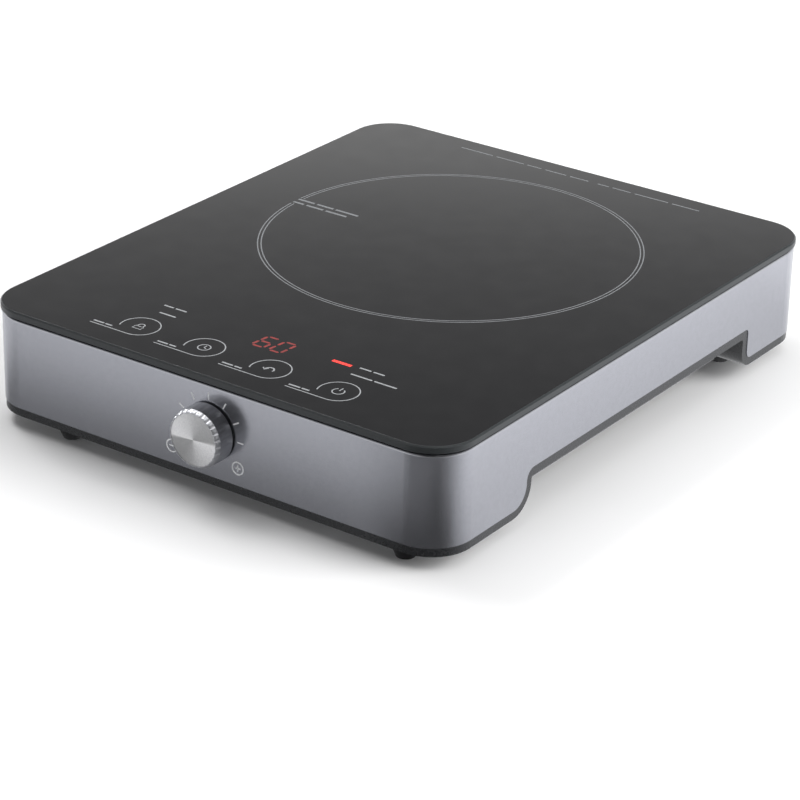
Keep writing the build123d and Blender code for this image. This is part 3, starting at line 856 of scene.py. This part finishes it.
class HOB_OT_knob(bpy.types.Operator):
    """Chrome knob with a notched edge and a spun disc"""

    bl_idname = "hob.knob"
    bl_label = "Knob"

    def execute(self, context):
        sizes = context.scene.hob_shapes
        profile = soften(np.array([
            (0, 10), (3.1, 10), (3.1, 4), (5.5, 4), (5.5, 9), (13.9, 9), (13.9, 1.0),
            (15.3, 1.0), (15.6, 1.4), (15.45, 10.4), (14.9, 12.1), (14.3, 13.0), (13.95, 13.0),
            (13.95, 12.0), (0, 12.0),
        ]) * MM, 0.12 * MM, 4)
        out = profile[:, 1] / MM
        reach = profile[:, 0] / MM
        cut = np.where((out > 10.0) & (reach > 14.1), np.clip((out - 10.0) / 1.0, 0, 1), 0)
        body = turned(
            profile, 12 * sizes.knob_notches, sizes.notch_depth * cut,
            lambda angle: np.clip(1.8 * np.cos(sizes.knob_notches * angle) - 0.5, 0, 1),
        )
        origin = (KNOB_X, FRONT, KNOB_Z)
        knob = piece("knob_shell", [placed(body, origin, ON_FRONT)], [turned_chrome()],
                     "knob", sharp=40)
        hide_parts("knob_body")
        disc = soften(np.array([
            (0, 11.9), (13.9, 11.9), (13.9, 12.8), (0, 12.85)
        ]) * MM, 0.15 * MM, 4)
        # the spun disc carries sectors of painted reflection in its tone
        cap = piece("knob_disc", [placed(turned(disc, 144), origin, ON_FRONT)],
                    [spun_aluminium_painted_sheen()], "knob")
        cap.modifiers.clear()
        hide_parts("knob_face_disc")
        return {"FINISHED"}


class HOB_OT_feet(bpy.types.Operator):
    """Four turned rubber feet"""

    bl_idname = "hob.feet"
    bl_label = "Feet"

    def execute(self, context):
        # moulded rubber: black with a fine matt grain
        rubber = mottled(
            "moulded_rubber", "#19191a", "#232324", 0.5 * MM, 0.02 * MM, (0.6, 0.8)
        )
        bend = context.scene.hob_shapes.foot_round
        for name in FEET:
            low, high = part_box(name)
            profile = soften(np.array([
                (0, 0.6), (2.6, 0.6), (3.4, 0), (4.9, 0), (6.4, 3.5), (7.0, 8.0), (2.95, 8.0),
                (2.95, 10.3), (3.5, 10.6), (3.5, 11.4), (2.4, 13.2), (0, 13.2),
            ]) * MM, [0.2 * MM, 0.2 * MM, 0.2 * MM, bend] + 6 * [0.15 * MM], 4)
            grid = turned(profile, 64)
            origin = ((low.x + high.x) / 2, (low.y + high.y) / 2, 0)
            foot = piece(name + "_rubber", [placed(grid, origin, ON_TOP)], [rubber])
            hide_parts(name)
        return {"FINISHED"}


class HOB_OT_screws(bpy.types.Operator):
    """Eight pan-head screws with a cross recess, seen from below"""

    bl_idname = "hob.screws"
    bl_label = "Base Screws"

    def execute(self, context):
        low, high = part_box("base_screws")
        seat = low.z + 2.0 * MM
        profile = soften(np.array([
            (0, -14), (1.4, -14), (1.4, 0), (3.2, 0), (3.2, 0.9), (2.0, 1.9), (1.8, 1.95),
            (1.4, 1.98), (1.0, 2.0), (0.6, 2.0), (0.3, 2.0), (0, 2.0),
        ]) * MM, 0.1 * MM, 4)
        grid = turned(profile, 64)
        flat = np.abs(grid[..., :2]) / MM
        # the recess follows a cross: deep where a point is near either arm's middle line
        near = np.clip((0.5 - flat.min(-1)) / 0.15, 0, 1)
        near = near * np.clip((1.9 - flat.max(-1)) / 0.3, 0, 1)
        grid[..., 2] -= np.where(grid[..., 2] > 1.5 * MM, 0.9 * MM * near, 0)
        grids = [
            placed(grid, (x * MM, y * MM, seat), FROM_BELOW) for x, y in SCREW_PLACES
        ]
        # cold-headed steel under zinc plating: pale grey, with a soft shine
        zinc = mottled(
            "zinc_plated_steel", "#9b9da0", "#b3b4b6", 1 * MM, 0.004 * MM, (0.25, 0.4),
            Metallic=1.0,
        )
        screws = piece("pan_screws", grids, [zinc])
        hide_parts("base_screws")
        return {"FINISHED"}


class HOB_OT_gland(bpy.types.Operator):
    """Cord gland with a ribbed strain relief"""

    bl_idname = "hob.gland"
    bl_label = "Cord Gland"

    def execute(self, context):
        ribs = []
        for count in range(4):
            out = 4.0 + 2.1 * count
            wide = 8.0 - 0.45 * count
            neck = wide - 1.1
            ribs += [(wide, out), (wide, out + 1.1), (neck, out + 1.35), (neck, out + 1.9)]
        points = [(3.5, -14), (7.0, -14), (7.0, 0), (10, 0), (10, 2.5), (8.2, 2.5), (7.6, 3.6)]
        points += ribs + [(5.8, 12.6), (5.8, 13.0), (3.5, 13.0), (3.5, 5.0), (3.5, -14)]
        grid = turned(soften(np.array(points) * MM, 0.1 * MM, 4), 72)
        grid = placed(grid, (GLAND_X, BACK, GLAND_Z), ON_BACK)
        # moulded nylon with a spark-eroded grain: black, between matt and satin
        nylon = mottled(
            "moulded_black_nylon", "#1c1c1d", "#262627", 0.6 * MM, 0.02 * MM, (0.4, 0.55)
        )
        gland = piece("gland_relief", [grid], [nylon])
        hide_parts("cord_gland")
        return {"FINISHED"}


class HOB_OT_casing(bpy.types.Operator):
    """Finishes of the sleeve, the base tray and the seal"""

    bl_idname = "hob.casing"
    bl_label = "Casing"

    def execute(self, context):
        coat("sleeve", metallic_lacquer())
        # moulded ABS: dark grey with a low, even sheen
        coat("base_tray", mottled(
            "moulded_grey_abs", "#242527", "#292a2c", 2.4 * MM, 0.006 * MM, (0.24, 0.3),
            IOR=1.6,
        ))
        # silicone bead laid as a paste: black and dull, so that the joint reads as a shadow
        coat("glass_seal", mottled(
            "cast_silicone_seal", "#101011", "#171718", 0.8 * MM, 0.02 * MM, (0.5, 0.7)
        ))
        return {"FINISHED"}


class HOB_OT_inside(bpy.types.Operator):
    """Finishes of the parts inside the casing"""

    bl_idname = "hob.inside"
    bl_label = "Inside"

    def execute(self, context):
        # (name, dark tone, light tone, grain and depth in mm, roughness, metallic): nodes
        makes = {
            # turned or rolled, then plated with zinc: cool grey with a soft shine
            ("plated_steel_parts", "#8f9194", "#a8aaac", 1.0, 0.004, (0.25, 0.4), 1.0): (
                "encoder_shaft", "encoder_washer", "encoder_nut", "coil_screws", "board_screws",
                "panel_screws", "fan_screws",
            ),
            # moulded nylon with a spark-eroded grain: dark and nearly matt
            ("moulded_dark_nylon", "#232425", "#2e2f31", 0.5, 0.015, (0.4, 0.55), 0.0): (
                "upper_frame", "encoder_body", "coil_carrier", "panel_carrier", "fan_frame",
                "fan_rotor", "fan_stator", "gland_nut", "buzzer", "igbt", "bridge_rectifier",
            ),
            # glass-fibre laminate, coated with green resist: smooth, with a faint weave
            ("green_board_laminate", "#1d4a31", "#27583b", 0.4, 0.01, (0.3, 0.45), 0.0): (
                "encoder_board", "power_board", "control_board",
            ),
            # drawn copper wire under clear enamel: warm orange brown with a gloss
            ("enamelled_copper", "#a2582c", "#bc6c3a", 0.5, 0.02, (0.25, 0.4), 1.0): (
                "induction_coil", "filter_choke",
            ),
            # pressed and fired ferrite powder: dark grey and dull, like slate
            ("sintered_ferrite", "#2c2d2f", "#3a3b3d", 0.6, 0.02, (0.6, 0.8), 0.0): (
                "ferrite_bars",
            ),
            # mica flakes pressed with resin: buff, with flecks that glint
            ("pressed_mica", "#a99a78", "#c4b594", 1.2, 0.02, (0.35, 0.6), 0.0): ("mica_sheet",),
            # cast silicone: milky white and soft to the eye
            ("cast_white_silicone", "#d6d6d2", "#e4e4e0", 0.8, 0.02, (0.5, 0.65), 0.0): (
                "sensor_cap",
            ),
            # extruded aluminium, left bare: light grey with a dull shine
            ("extruded_aluminium", "#b9babc", "#c9cacc", 0.7, 0.01, (0.3, 0.45), 1.0): (
                "heatsink",
            ),
            # moulded polyester cases: ochre yellow with a low gloss
            ("moulded_yellow_case", "#b89a3e", "#c9ab4c", 0.8, 0.01, (0.35, 0.5), 0.0): (
                "film_capacitors", "relay",
            ),
            # aluminium can in a shrunk film sleeve: blue black and smooth
            ("printed_can_sleeve", "#1f2836", "#283244", 0.8, 0.01, (0.3, 0.4), 0.0): (
                "electrolytic_capacitor",
            ),
            # woven glass-fibre sleeving: off-white, dry and a little rough
            ("woven_lead_sleeving", "#c9c6bd", "#dcd9d0", 0.6, 0.04, (0.6, 0.8), 0.0): (
                "coil_leads", "thermistor", "ribbon_cable", "fuse",
            ),
            # stamped and bent brass: yellow with a soft shine
            ("stamped_brass", "#b08d46", "#c6a258", 0.6, 0.01, (0.25, 0.4), 1.0): (
                "touch_springs",
            ),
            # moulded red acrylic: deep red, and glossy where it faces the glass
            ("tinted_red_diffuser", "#4a0f0d", "#641612", 0.8, 0.01, (0.3, 0.4), 0.0): (
                "display_module", "indicator_lights",
            ),
            # moulded polyamide: leaf green with a low gloss
            ("moulded_green_polyamide", "#2c6a3c", "#377a48", 0.6, 0.01, (0.4, 0.55), 0.0): (
                "terminal_block",
            ),
        }
        for (name, dark, light, grain, depth, rough, metal), nodes in makes.items():
            made = mottled(name, dark, light, grain * MM, depth * MM, rough, Metallic=metal)
            for node in nodes:
                coat(node, made)
        return {"FINISHED"}


OPERATORS = (
    HOB_OT_stage, HOB_OT_glass, HOB_OT_zone, HOB_OT_keys, HOB_OT_display, HOB_OT_front,
    HOB_OT_knob, HOB_OT_feet, HOB_OT_screws, HOB_OT_gland, HOB_OT_casing, HOB_OT_inside,
)
GROUPS = {
    "hob_prints": HobPrintSizes,
    "hob_shapes": HobShapeSizes,
    "hob_colours": HobColours,
    "hob_stage": HobStage,
}


class HOB_PT_panel(bpy.types.Panel):
    """Lists the hob's sizes, colours and pieces"""

    bl_label = "Tabletop Hob"
    bl_idname = "HOB_PT_panel"
    bl_space_type = "VIEW_3D"
    bl_region_type = "UI"
    bl_category = "Hob"

    def draw(self, context):
        for name, group in GROUPS.items():
            box = self.layout.box()
            for key in group.__annotations__:
                box.prop(getattr(context.scene, name), key)
        for operator in OPERATORS:
            self.layout.operator(operator.bl_idname)


def register():
    for made in (*GROUPS.values(), *OPERATORS, HOB_PT_panel):
        bpy.utils.register_class(made)
    for name, group in GROUPS.items():
        setattr(bpy.types.Scene, name, bpy.props.PointerProperty(type=group))


def unregister():
    for name in GROUPS:
        delattr(bpy.types.Scene, name)
    for made in reversed((*GROUPS.values(), *OPERATORS, HOB_PT_panel)):
        bpy.utils.unregister_class(made)


def main():
    register()
    bpy.ops.hob.stage()
    bpy.ops.hob.glass()
    bpy.ops.hob.zone()
    bpy.ops.hob.keys()
    bpy.ops.hob.display()
    bpy.ops.hob.front()
    bpy.ops.hob.knob()
    bpy.ops.hob.feet()
    bpy.ops.hob.screws()
    bpy.ops.hob.gland()
    bpy.ops.hob.casing()
    bpy.ops.hob.inside()


if __name__ == "__main__":
    main()
